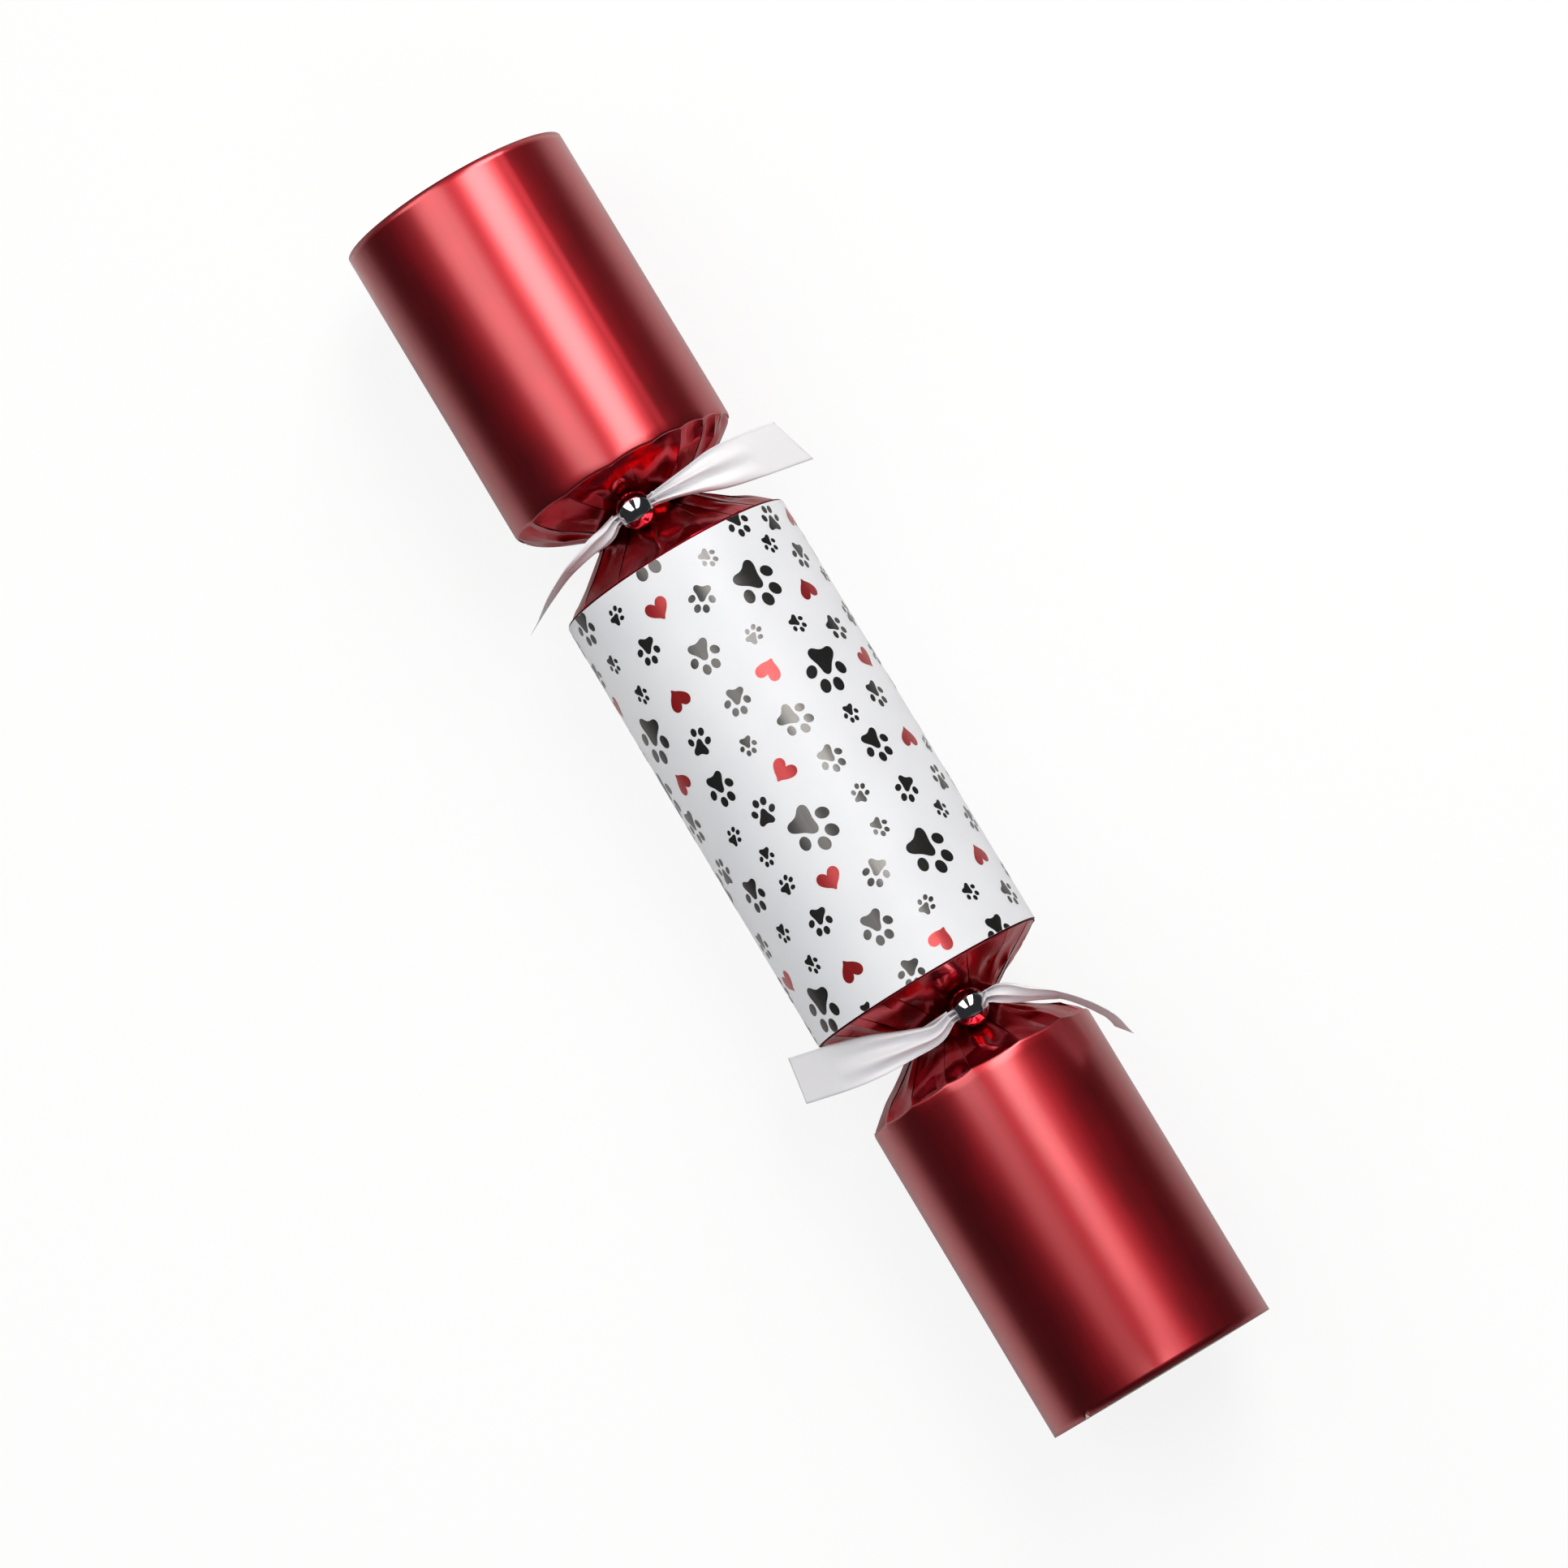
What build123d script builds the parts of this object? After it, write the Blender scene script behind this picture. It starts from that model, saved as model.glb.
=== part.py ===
"""A christmas cracker: three card tubes in one foil wrapper, choked and tied between them.

The cracker lies on its side. X runs along it, Z is up, and the origin is on the table, under the
middle of the cracker. The left end is the -X end. Lengths are in millimetres.
"""

import math
import os

from build123d import *

os.makedirs("parts", exist_ok=True)

# Card tubes, foil and band
total_length = 280.0
barrel_length = 100.0
barrel_shift = -1.65  # the barrel's middle along X: it was rolled in a little off the middle
choke_length = 21.5  # foil between the barrel's edge and an end tube's edge
tube_diameter = 50.0  # outside of the card
card_wall = 0.6
foil_thickness = 0.2
band_thickness = 0.2
band_inset = 0.4  # foil left bare beyond each edge of the band
lap_width = 6.0  # glued overlap of the band
lap_turn = 232.4  # where the overlap starts, in degrees round from +Y
glue_line = 0.05  # between two layers that are glued together

# Gathered chokes
pleats = 16
waist_radius = 11.8  # outside of the pleats, under the ribbon
waist_width = 5.0
left_waist_shift = 0.8  # from the middle of the choke, away from the barrel
right_waist_shift = -1.5
shoulder_depth = 3.6  # length of the rounded shoulder next to an end tube
shoulder_radius = 22.4
flare_depth = 4.0  # length of the flare next to the barrel
flare_radius = 19.4
pleat_wall = 0.45  # doubled foil, measured along the radius
tear_gap = 0.1  # between a choke and the foil of the tubes beside it

# Ribbons and beads
ribbon_width = 10.0
ribbon_thickness = 0.3
gathered_width = 4.4  # the ribbon bunched up round the waist
bundle_radius = 1.35  # both ends of the ribbon, bunched in the bead
bundle_reach = 0.9  # how far the bunched ends come out of the bead
bead_radius = 4.0
bead_bore_radius = 1.5
bead_seat = 0.15  # between the bead and the ribbon under it
loop_fit = 0.1  # between the ribbon and the pleats
left_bead_turn = -4.5  # degrees from straight up, towards +Y
right_bead_turn = 16.5

# The snap
strip_width = 8.0
strip_thickness = 0.4
strip_overlap = 40.0
strip_dive = 25.0  # length over which a strip runs from the axis to the tube's wall
strip_bend = 8.0  # radius of the strip's two bends
glued_length = 16.0  # stretch of strip that is glued to the end tube
coating_thickness = 0.2
coating_length = 10.0
coating_inset = 7.0  # from the strip's end to its coating
coating_gap = 0.1  # between the charge and the striker
sleeve_length = 32.0
sleeve_thickness = 0.2
sleeve_fit = 0.1

# What the barrel holds
hat_core_radius = 2.6
hat_sheet = 0.5  # folded tissue
hat_turn_gap = 0.3
hat_half_turns = 7
hat_start = 5.0  # from the barrel's left edge
tie_width = 3.0
tie_thickness = 0.4
tie_fit = 0.1
slip_inset = 4.0  # from the hat's edge to the motto's
slip_thickness = 0.25
slip_fit = 0.15
slip_curl = 320.0  # degrees that the slip is rolled through
top_radius = 9.5
top_thickness = 8.0
top_nose_radius = 4.5
top_rim_width = 2.0
top_crown_radius = 7.0
peg_radius = 2.0
peg_length = 26.0
peg_tip = 4.0  # length of the peg's point
peg_foot = 6.0  # from the peg's tip to the disc
peg_fit = 0.03
gift_end = 7.0  # from the barrel's right edge
contents_gap = 6.0  # between the hat and the gift
floor_fit = 0.1  # between what the barrel holds and its card

# Worked out from the sizes above
card_radius = tube_diameter / 2
bore_radius = card_radius - card_wall
foil_inner = card_radius + glue_line
foil_outer = foil_inner + foil_thickness
band_inner = foil_outer + glue_line
band_outer = band_inner + band_thickness
axis_height = band_outer
bore_floor = axis_height - bore_radius
hat_length = barrel_length - hat_start - contents_gap - peg_length - gift_end
slip_length = hat_length - 2 * slip_inset

SIDES = {"left": -1, "right": 1}
WAIST_SHIFTS = {"left": left_waist_shift, "right": right_waist_shift}
rims = {name: side * total_length / 2 for name, side in SIDES.items()}
barrel_edges = {name: barrel_shift + side * barrel_length / 2 for name, side in SIDES.items()}
end_edges = {name: barrel_edges[name] + side * choke_length for name, side in SIDES.items()}
waists = {
    name: barrel_edges[name] + side * (choke_length / 2 + WAIST_SHIFTS[name])
    for name, side in SIDES.items()
}
AXIS = Plane((0, 0, axis_height), x_dir=(0, 1, 0), z_dir=(1, 0, 0))


def save(piece, name):
    """Labels a finished piece and writes it as one STEP file."""
    piece.part.label = name
    export_step(piece.part, f"parts/{name}.step")
    print(name, round(piece.part.volume, 2))


def tube_between(start, end, inner, outer):
    """A round tube along the cracker's axis, from one place on X to another."""
    with BuildPart() as tube:
        with BuildSketch(AXIS.offset(start)):
            Circle(outer)
            Circle(inner, mode=Mode.SUBTRACT)
        extrude(amount=end - start)
    return tube


# Card tubes and the plain sleeves of foil on them
start, end = barrel_edges["left"], barrel_edges["right"]
save(tube_between(start, end, bore_radius, card_radius), "barrel_tube")
save(tube_between(start, end, foil_inner, foil_outer), "barrel_wrap")
for side_name in SIDES:
    start, end = sorted((end_edges[side_name], rims[side_name]))
    save(tube_between(start, end, bore_radius, card_radius), f"{side_name}_end_tube")
    save(tube_between(start, end, foil_inner, foil_outer), f"{side_name}_wrap")

# The printed band, with its glued overlap at the back
band_length = barrel_length - 2 * band_inset
lap_start = math.radians(lap_turn)
lap_plane = Plane(
    (barrel_shift, 0, axis_height),
    x_dir=(1, 0, 0),
    z_dir=(0, -math.sin(lap_start), math.cos(lap_start)),
)
with BuildPart() as printed_band:
    with BuildSketch(AXIS.offset(barrel_shift - band_length / 2)):
        Circle(band_outer)
        Circle(band_inner, mode=Mode.SUBTRACT)
    extrude(amount=band_length)
    with BuildSketch(lap_plane):
        with Locations((0, band_outer)):
            Rectangle(band_length, 2 * band_thickness)
    revolve(
        axis=Axis((0, 0, axis_height), (1, 0, 0)),
        revolution_arc=math.degrees(lap_width / band_outer),
    )
save(printed_band, "printed_band")

# The gathered chokes. The foil keeps its width: as the ridge of a pleat comes in to a smaller
# radius, its valley folds in further, and each half of a pleat stays half a shoulder facet wide.
half_pitch = math.pi / pleats
half_facet = foil_outer * math.sin(half_pitch)


def valley_radius(ridge_radius):
    """Radius of the valleys where the ridges of the pleats lie at this radius."""
    half_chord = ridge_radius * math.sin(half_pitch)
    fold_depth = math.sqrt(max(half_facet**2 - half_chord**2, 0))
    return ridge_radius * math.cos(half_pitch) - fold_depth


def pleated_ring(place, ridge_radius, inset):
    """Ridge and valley points round the axis, in turn, brought in by the inset."""
    radii = (ridge_radius - inset, valley_radius(ridge_radius) - inset)
    ring = []
    for corner in range(2 * pleats):
        turn = corner * half_pitch
        reach = radii[corner % 2]
        ring.append(Vector(place, reach * math.cos(turn), axis_height + reach * math.sin(turn)))
    return ring


def folded_solid(rings):
    """A closed solid of flat folds through rings of points, with the last joined to the first."""
    folds = []
    for ring, following in zip(rings, rings[1:] + rings[:1]):
        for i in range(len(ring)):
            j = (i + 1) % len(ring)
            ridge, valley = (i, j) if i % 2 == 0 else (j, i)
            folds.append(Face(Wire.make_polygon([ring[i], ring[j], following[ridge]])))
            folds.append(Face(Wire.make_polygon([ring[valley], following[i], following[j]])))
    return Solid(Shell(folds))


for side_name, side in SIDES.items():
    choke_stations = [
        (end_edges[side_name] - side * tear_gap, foil_outer),
        (end_edges[side_name] - side * shoulder_depth, shoulder_radius),
        (waists[side_name] + side * waist_width / 2, waist_radius),
        (waists[side_name] - side * waist_width / 2, waist_radius),
        (barrel_edges[side_name] + side * flare_depth, flare_radius),
        (barrel_edges[side_name] + side * tear_gap, foil_outer),
    ]
    outside = [pleated_ring(place, radius, 0) for place, radius in choke_stations]
    inside = [pleated_ring(place, radius, pleat_wall) for place, radius in choke_stations]
    with BuildPart() as choke:
        add(folded_solid(outside + inside[::-1]))
    save(choke, f"{side_name}_choke")

# Beads and ribbons. A ribbon goes round the waist and both its ends pass through the bead, so the
# bead's bore lies along the ribbon.
loop_radius = waist_radius + loop_fit + ribbon_thickness / 2
bead_orbit = loop_radius + ribbon_thickness / 2 + bead_seat + bead_radius
mouth = bead_radius + bundle_reach
BEAD_TURNS = {"left": left_bead_turn, "right": right_bead_turn}

# Each tail, as places beyond the bead's mouth: along the cracker, outwards and upwards, in widths
# of the ribbon, then the share of its width that is spread out there, and the degrees that its face
# is turned from level.
TAILS = {
    ("left", 1): [
        (0.02, 0.35, -0.02, 0.45, 8),
        (0.06, 0.85, -0.14, 0.75, 4),
        (0.1, 1.45, -0.44, 1.0, 0),
        (0.14, 2.2, -1.0, 1.0, 0),
        (0.19, 3.06, -1.85, 1.0, 0),
    ],
    ("left", -1): [
        (0.12, 0.3, -0.04, 0.45, -40),
        (0.2, 0.75, -0.14, 0.75, -66),
        (0.36, 1.35, -0.3, 1.0, -80),
        (0.6, 1.95, -0.5, 1.0, -89),
        (0.92, 2.56, -0.74, 1.0, -98),
    ],
    ("right", -1): [
        (0.12, 0.42, -0.02, 0.4, -6),
        (0.02, 1.0, -0.12, 0.6, -4),
        (-0.18, 1.8, -0.42, 0.9, 0),
        (-0.38, 2.55, -0.96, 1.0, 0),
        (-0.61, 3.32, -1.8, 1.0, 0),
    ],
    ("right", 1): [
        (0.09, 0.26, 0.08, 0.45, 30),
        (0.38, 0.72, 0.2, 0.75, 66),
        (0.74, 1.22, 0.28, 1.0, 88),
        (1.16, 1.6, 0.24, 1.0, 92),
        (1.6, 1.88, 0.08, 1.0, 92),
        (1.98, 2.0, -0.1, 1.0, 92),
    ],
}
TAIL_CUTS = {("left", 1): -28.0, ("left", -1): 30.0, ("right", -1): -12.0, ("right", 1): 0.0}


def tail_planes(root, way, stations, cut):
    """A plane across the tail at each of its places, with X along the ribbon's width."""
    places = [root]
    for along, out, up, _, _ in stations:
        places.append(root + Vector(along, way * out, up) * ribbon_width)
    planes = []
    for i in range(1, len(places)):
        tangent = (places[min(i + 1, len(places) - 1)] - places[i - 1]).normalized()
        level = tangent.cross(Vector(0, 0, 1)).normalized()
        across = level.rotate(Axis((0, 0, 0), tangent), stations[i - 1][4])
        if i == len(places) - 1:
            across = across.rotate(Axis((0, 0, 0), tangent.cross(across)), cut)
            tangent = tangent.rotate(Axis((0, 0, 0), tangent.cross(across)), cut)
        planes.append(Plane(places[i], x_dir=across, z_dir=tangent))
    return planes


for side_name in SIDES:
    turn = math.radians(BEAD_TURNS[side_name])
    ribbon_way = Vector(0, math.cos(turn), -math.sin(turn))
    waist_centre = Vector(waists[side_name], 0, axis_height)
    bead_centre = waist_centre + Vector(0, math.sin(turn), math.cos(turn)) * bead_orbit
    tie_plane = Plane(waist_centre, x_dir=ribbon_way, z_dir=(1, 0, 0))
    bore_plane = Plane(bead_centre, x_dir=(1, 0, 0), z_dir=ribbon_way)

    with BuildPart(bore_plane) as bead:
        Sphere(bead_radius)
        Cylinder(bead_bore_radius, 3 * bead_radius, mode=Mode.SUBTRACT)
    save(bead, f"{side_name}_bead")

    # The loop leaves the waist at a tangent and rises to the bead's two mouths.
    strand_top = Vector(mouth - bundle_reach / 2, bead_orbit)
    rise = math.atan2(strand_top.Y, strand_top.X)
    leave = math.degrees(rise - math.acos(loop_radius / strand_top.length))
    with BuildPart() as ribbon:
        with BuildSketch(tie_plane):
            with BuildLine():
                around = CenterArc((0, 0), loop_radius, 180 - leave, 180 + 2 * leave)
                Line(around @ 0, (-strand_top.X, strand_top.Y))
                Line(around @ 1, (strand_top.X, strand_top.Y))
            trace(line_width=ribbon_thickness)
        extrude(amount=gathered_width / 2, both=True)
        with BuildSketch(bore_plane):
            Circle(bundle_radius)
        extrude(amount=mouth, both=True)
        for way in (1, -1):
            stations = TAILS[side_name, way]
            root = bead_centre + ribbon_way * (way * (mouth - bundle_reach / 2))
            with BuildSketch(Plane(root, x_dir=(1, 0, 0), z_dir=ribbon_way * way)):
                Rectangle(1.5 * bundle_radius, bundle_radius)
            planes = tail_planes(root, way, stations, TAIL_CUTS[side_name, way])
            for plane, station in zip(planes, stations):
                with BuildSketch(plane):
                    Rectangle(ribbon_width * station[3], ribbon_thickness)
            loft(ruled=True)
    save(ribbon, f"{side_name}_ribbon")

# The snap: two card strips that overlap inside a paper sleeve, each glued in its own end tube
strip_level = coating_gap / 2 + coating_thickness + strip_thickness / 2
strip_floor = axis_height - math.sqrt(bore_radius**2 - (strip_width / 2) ** 2)
glued_level = strip_floor + glue_line + strip_thickness / 2
coating_level = (coating_gap + coating_thickness) / 2
coating_place = strip_overlap / 2 - coating_inset - coating_length / 2
COATINGS = {"left": "snap_charge", "right": "snap_striker"}

for side_name, side in SIDES.items():
    level = axis_height - side * strip_level
    dive_start = end_edges[side_name]
    dive_end = dive_start + side * strip_dive
    with BuildPart() as strip:
        with BuildSketch(Plane.XZ):
            with BuildLine():
                FilletPolyline(
                    (barrel_shift - side * strip_overlap / 2, level),
                    (dive_start, level),
                    (dive_end, glued_level),
                    (dive_end + side * glued_length, glued_level),
                    radius=strip_bend,
                )
            trace(line_width=strip_thickness)
        extrude(amount=strip_width / 2, both=True)
    save(strip, f"{side_name}_snap_strip")

    with BuildPart() as coating:
        with Locations((barrel_shift - side * coating_place, 0, axis_height - side * coating_level)):
            Box(coating_length, strip_width, coating_thickness)
    save(coating, COATINGS[side_name])

with BuildPart() as snap_sleeve:
    with BuildSketch(AXIS.offset(barrel_shift - sleeve_length / 2)):
        inner_width = strip_width + 2 * sleeve_fit
        inner_height = 2 * strip_level + strip_thickness + 2 * sleeve_fit
        Rectangle(inner_width + 2 * sleeve_thickness, inner_height + 2 * sleeve_thickness)
        Rectangle(inner_width, inner_height, mode=Mode.SUBTRACT)
    extrude(amount=sleeve_length)
save(snap_sleeve, "snap_sleeve")

# The paper hat, rolled up with the motto inside it and a band round it
hat_pitch = hat_sheet + hat_turn_gap
hat_first_radius = hat_core_radius + hat_sheet / 2
hat_outer = hat_first_radius + (hat_half_turns - 1) * hat_pitch / 2 + hat_pitch / 2 + hat_sheet / 2
tie_inner = hat_outer + tie_fit
tie_outer = tie_inner + tie_thickness
hat_left = barrel_edges["left"] + hat_start
hat_plane = Plane(
    (hat_left, 0, bore_floor + floor_fit + tie_outer),
    x_dir=(0, 1, 0),
    z_dir=(1, 0, 0),
)

with BuildPart() as hat_roll:
    with BuildSketch(hat_plane):
        with BuildLine():
            for half_turn in range(hat_half_turns):
                centre = (half_turn % 2 * hat_pitch / 2, 0)
                CenterArc(centre, hat_first_radius + half_turn * hat_pitch / 2, half_turn * 180, 180)
        trace(line_width=hat_sheet)
    extrude(amount=hat_length)
save(hat_roll, "hat_roll")

with BuildPart() as hat_tie:
    with BuildSketch(hat_plane.offset((hat_length - tie_width) / 2)):
        Circle(tie_outer)
        Circle(tie_inner, mode=Mode.SUBTRACT)
    extrude(amount=tie_width)
save(hat_tie, "hat_tie")

with BuildPart() as motto_slip:
    with BuildSketch(hat_plane.offset((hat_length - slip_length) / 2)):
        with BuildLine():
            CenterArc((0, 0), hat_core_radius - slip_fit - slip_thickness / 2, 0, slip_curl)
        trace(line_width=slip_thickness)
    extrude(amount=slip_length)
save(motto_slip, "motto_slip")

# The gift, a spinning top that lies on its rim with the point of its peg to the right
gift_height = bore_floor + floor_fit + top_radius
gift_axis = Axis((0, 0, gift_height), (1, 0, 0))
peg_point = barrel_edges["right"] - gift_end
disc_nose = peg_point - peg_foot
disc_back = disc_nose - top_thickness
gift_plane = Plane((0, 0, gift_height), x_dir=(1, 0, 0), z_dir=(0, -1, 0))

with BuildPart() as top_disc:
    with BuildSketch(gift_plane):
        with BuildLine():
            Polyline(
                (disc_nose, top_nose_radius),
                (disc_nose, peg_radius + peg_fit),
                (disc_back, peg_radius + peg_fit),
                (disc_back, top_crown_radius),
                (disc_back + top_rim_width, top_radius),
                (disc_back + 2 * top_rim_width, top_radius),
                close=True,
            )
        make_face()
    revolve(axis=gift_axis)
save(top_disc, "top_disc")

with BuildPart() as top_peg:
    with BuildSketch(gift_plane):
        with BuildLine():
            Polyline(
                (peg_point, 0),
                (peg_point - peg_tip, peg_radius),
                (peg_point - peg_length, peg_radius),
                (peg_point - peg_length, 0),
                close=True,
            )
        make_face()
    revolve(axis=gift_axis)
save(top_peg, "top_peg")
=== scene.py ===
# %% [markdown]
# # A christmas cracker that comes apart
# A cracker is three card tubes in one foil wrapper. The wrapper is choked between the tubes, each
# choke is tied with a ribbon, and pulling the two ends tears the foil and fires the snap inside.
# The CAD model gives every solid its place and its joints. This script dresses that model: it
# keeps the stiff pieces, and makes the thin ones, such as foil, ribbon and tissue, as sheets.
# Lengths below are written in millimetres and turned into metres with `mm`.

import math
import random

import bpy
from mathutils import Matrix, Quaternion, Vector, noise


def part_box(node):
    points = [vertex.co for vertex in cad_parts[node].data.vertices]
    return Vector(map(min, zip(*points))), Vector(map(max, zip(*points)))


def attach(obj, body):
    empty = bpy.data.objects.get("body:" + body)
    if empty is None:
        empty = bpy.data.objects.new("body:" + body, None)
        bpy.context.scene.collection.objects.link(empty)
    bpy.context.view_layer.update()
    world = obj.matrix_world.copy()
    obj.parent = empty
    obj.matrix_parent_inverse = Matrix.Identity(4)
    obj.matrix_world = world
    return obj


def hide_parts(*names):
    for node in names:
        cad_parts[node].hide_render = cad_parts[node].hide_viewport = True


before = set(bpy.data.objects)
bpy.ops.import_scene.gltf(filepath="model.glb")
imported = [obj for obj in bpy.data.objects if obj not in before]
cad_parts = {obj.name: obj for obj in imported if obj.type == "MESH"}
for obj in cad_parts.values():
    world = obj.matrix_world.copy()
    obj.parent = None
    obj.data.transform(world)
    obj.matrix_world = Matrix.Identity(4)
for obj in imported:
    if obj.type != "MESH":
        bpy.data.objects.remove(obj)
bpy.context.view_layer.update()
mm = 0.001
scene = bpy.context.scene
print("CAD nodes loaded:", len(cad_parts))

# %% [markdown]
# ## Measures
# Nothing is measured twice. The tubes, the necks and the beads stand where the CAD boxes say, so a
# change in the CAD moves the foil, the prints and the ribbons with it.

# %% Measures taken from the CAD
SIDES = {"left": -1, "right": 1}
barrel_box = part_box("barrel_wrap")
band_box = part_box("printed_band")
axis_height = (barrel_box[0].z + barrel_box[1].z) / 2
foil_radius = (barrel_box[1].z - barrel_box[0].z) / 2
band_radius = (band_box[1].z - band_box[0].z) / 2
band_edges = {"left": band_box[0].x, "right": band_box[1].x}
rims = {"left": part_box("left_wrap")[0].x, "right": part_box("right_wrap")[1].x}
end_edges = {"left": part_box("left_wrap")[1].x, "right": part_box("right_wrap")[0].x}
bead_centres = {name: sum(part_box(f"{name}_bead"), Vector()) / 2 for name in SIDES}
waists = {name: bead_centres[name].x for name in SIDES}
print("foil radius", round(foil_radius / mm, 2), "mm, axis at", round(axis_height / mm, 2), "mm")

# %% [markdown]
# ## Helpers for meshes
# Each soft piece is a net of points with square meshes, like a fishing net.
# `net_faces` ties the knots, and `new_piece` makes the object and puts it on its CAD body.


# %% Helpers for meshes
def round_axis(place, radius, turn):
    """The point at this turn from straight up, towards +Y, round the cracker's axis."""
    return Vector((place, radius * math.sin(turn), axis_height + radius * math.cos(turn)))


def net_faces(rows, columns, closed, first=0, flipped=False):
    """Quads between rows of points, each row with this many points."""
    faces = []
    for row in range(rows - 1):
        for column in range(columns if closed else columns - 1):
            a = first + row * columns + column
            b = first + row * columns + (column + 1) % columns
            face = (a, b, b + columns, a + columns)
            faces.append(face[::-1] if flipped else face)
    return faces


def new_piece(name, points, faces, materials, body):
    """A smooth mesh in the row frame that rides on a CAD body."""
    mesh = bpy.data.meshes.new(name)
    mesh.from_pydata([tuple(point) for point in points], [], faces)
    mesh.polygons.foreach_set("use_smooth", [True] * len(mesh.polygons))
    for material in materials:
        mesh.materials.append(bpy.data.materials[material])
    mesh.update()
    piece = bpy.data.objects.new(name, mesh)
    scene.collection.objects.link(piece)
    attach(piece, body)
    return piece


def thicken(piece, thickness, inside_slot=0):
    """Gives a sheet its thickness, inwards, with another material on the inside if there is one."""
    shell = piece.modifiers.new("thickness", "SOLIDIFY")
    shell.thickness = thickness
    shell.offset = -1
    shell.material_offset = inside_slot
    return shell


def curve_point(before, start, end, after, t):
    """A point on a smooth curve through four points, at a share t from start to end."""
    return 0.5 * (
        2 * start
        + (end - before) * t
        + (2 * before - 5 * start + 4 * end - after) * t * t
        + (3 * start - before - 3 * end + after) * t**3
    )


print("helpers ready")

# %% [markdown]
# ## Helpers for materials
# Every material is a small tree of nodes round one Principled shader. Effects that several
# materials share, such as the grain of foil or the fibres of paper, are node groups.


# %% Helpers for materials
def place_node(tree, kind, settings=None, inputs=None):
    """Adds a shader node, sets its options and its unlinked inputs."""
    made = tree.nodes.new(f"ShaderNode{kind}")
    for key, value in (settings or {}).items():
        setattr(made, key, value)
    for key, value in (inputs or {}).items():
        made.inputs[key].default_value = value
    return made


def new_group(name):
    """An empty group of shader nodes."""
    return bpy.data.node_groups.new(name, "ShaderNodeTree")


def put_out(group, **values):
    """Gives a node group its named outputs, all of them plain values."""
    for label in values:
        group.interface.new_socket(name=label, in_out="OUTPUT", socket_type="NodeSocketFloat")
    out = group.nodes.new("NodeGroupOutput")
    for label, value in values.items():
        group.links.new(value, out.inputs[label])


def spread(tree, source, low, high, start=0.0, end=1.0):
    """Maps a value from one range to another."""
    inputs = {"From Min": start, "From Max": end, "To Min": low, "To Max": high}
    scale = place_node(tree, "MapRange", inputs=inputs)
    tree.links.new(source, scale.inputs["Value"])
    return scale.outputs["Result"]


def work_out(tree, operation, *values):
    """A Math node on sockets and plain numbers."""
    made = place_node(tree, "Math", {"operation": operation})
    for socket, value in zip(made.inputs, values):
        if isinstance(value, (int, float)):
            socket.default_value = value
        else:
            tree.links.new(value, socket)
    return made.outputs["Value"]


def take_apart(tree, kind, output):
    """The three coordinates of the vector that a node of this kind puts out."""
    split = place_node(tree, "SeparateXYZ")
    tree.links.new(place_node(tree, kind).outputs[output], split.inputs["Vector"])
    return split.outputs


def stretched_noise(tree, scale, detail, roughness=0.5, coordinates="Object"):
    """Noise on the object's own coordinates, with a scale for each axis in lumps per metre."""
    where = place_node(tree, "TexCoord")
    stretch = place_node(tree, "Mapping", inputs={"Scale": scale})
    lumps = place_node(
        tree, "TexNoise", inputs={"Scale": 1.0, "Detail": detail, "Roughness": roughness}
    )
    tree.links.new(where.outputs[coordinates], stretch.inputs["Vector"])
    tree.links.new(stretch.outputs["Vector"], lumps.inputs["Vector"])
    return lumps.outputs["Fac"]


def new_material(name, inputs):
    """A material with a Principled shader and its constant inputs."""
    material = bpy.data.materials.new(name)
    material.use_nodes = True
    shader = material.node_tree.nodes["Principled BSDF"]
    for key, value in inputs.items():
        shader.inputs[key].default_value = value
    return material, material.node_tree, shader


def two_tones(tree, share, dark, light, shader):
    """Colours the shader between two tones by a value from 0 to 1."""
    mix = place_node(tree, "Mix", {"data_type": "RGBA"})
    for socket in mix.inputs:
        if socket.type == "RGBA":
            socket.default_value = (*(dark if socket.name == "A" else light), 1)
    tree.links.new(share, mix.inputs["Factor"])
    result = [socket for socket in mix.outputs if socket.type == "RGBA"][0]
    tree.links.new(result, shader.inputs["Base Color"])


def raise_bumps(tree, height, shader, strength, distance):
    """Bumps on the shader's surface from a height between 0 and 1."""
    bump = place_node(tree, "Bump", inputs={"Strength": strength, "Distance": distance})
    tree.links.new(height, bump.inputs["Height"])
    tree.links.new(bump.outputs["Normal"], shader.inputs["Normal"])


def mix_shaders(tree, share, first, second):
    """Mixes two shaders by a share between 0 and 1."""
    mix = place_node(tree, "MixShader")
    for value, socket in zip((share, first, second), mix.inputs):
        tree.links.new(value, socket)
    return mix.outputs["Shader"]


def new_look(name, effect, dark, light, inputs, bumps=None, roughness=None):
    """A material whose tones, bumps (strength, millimetres) and roughness follow an effect."""
    _, tree, shader = new_material(name, inputs)
    made = place_node(tree, "Group", {"node_tree": effect})
    two_tones(tree, made.outputs["Tone"], dark, light, shader)
    if bumps:
        raise_bumps(tree, made.outputs["Height"], shader, bumps[0], bumps[1] * mm)
    if roughness:
        rough = spread(tree, made.outputs["Roughness"], *roughness, *GRAIN_ROUGHNESS)
        tree.links.new(rough, shader.inputs["Roughness"])


print("material helpers ready")

# %% [markdown]
# ## Shared surface effects
# Foil has faint streaks along the roll it came from. Paper and card have fibres that lie every
# way. Crushed foil and tissue have a web of small creases, and a Voronoi pattern's cell edges make
# such a web.

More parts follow.
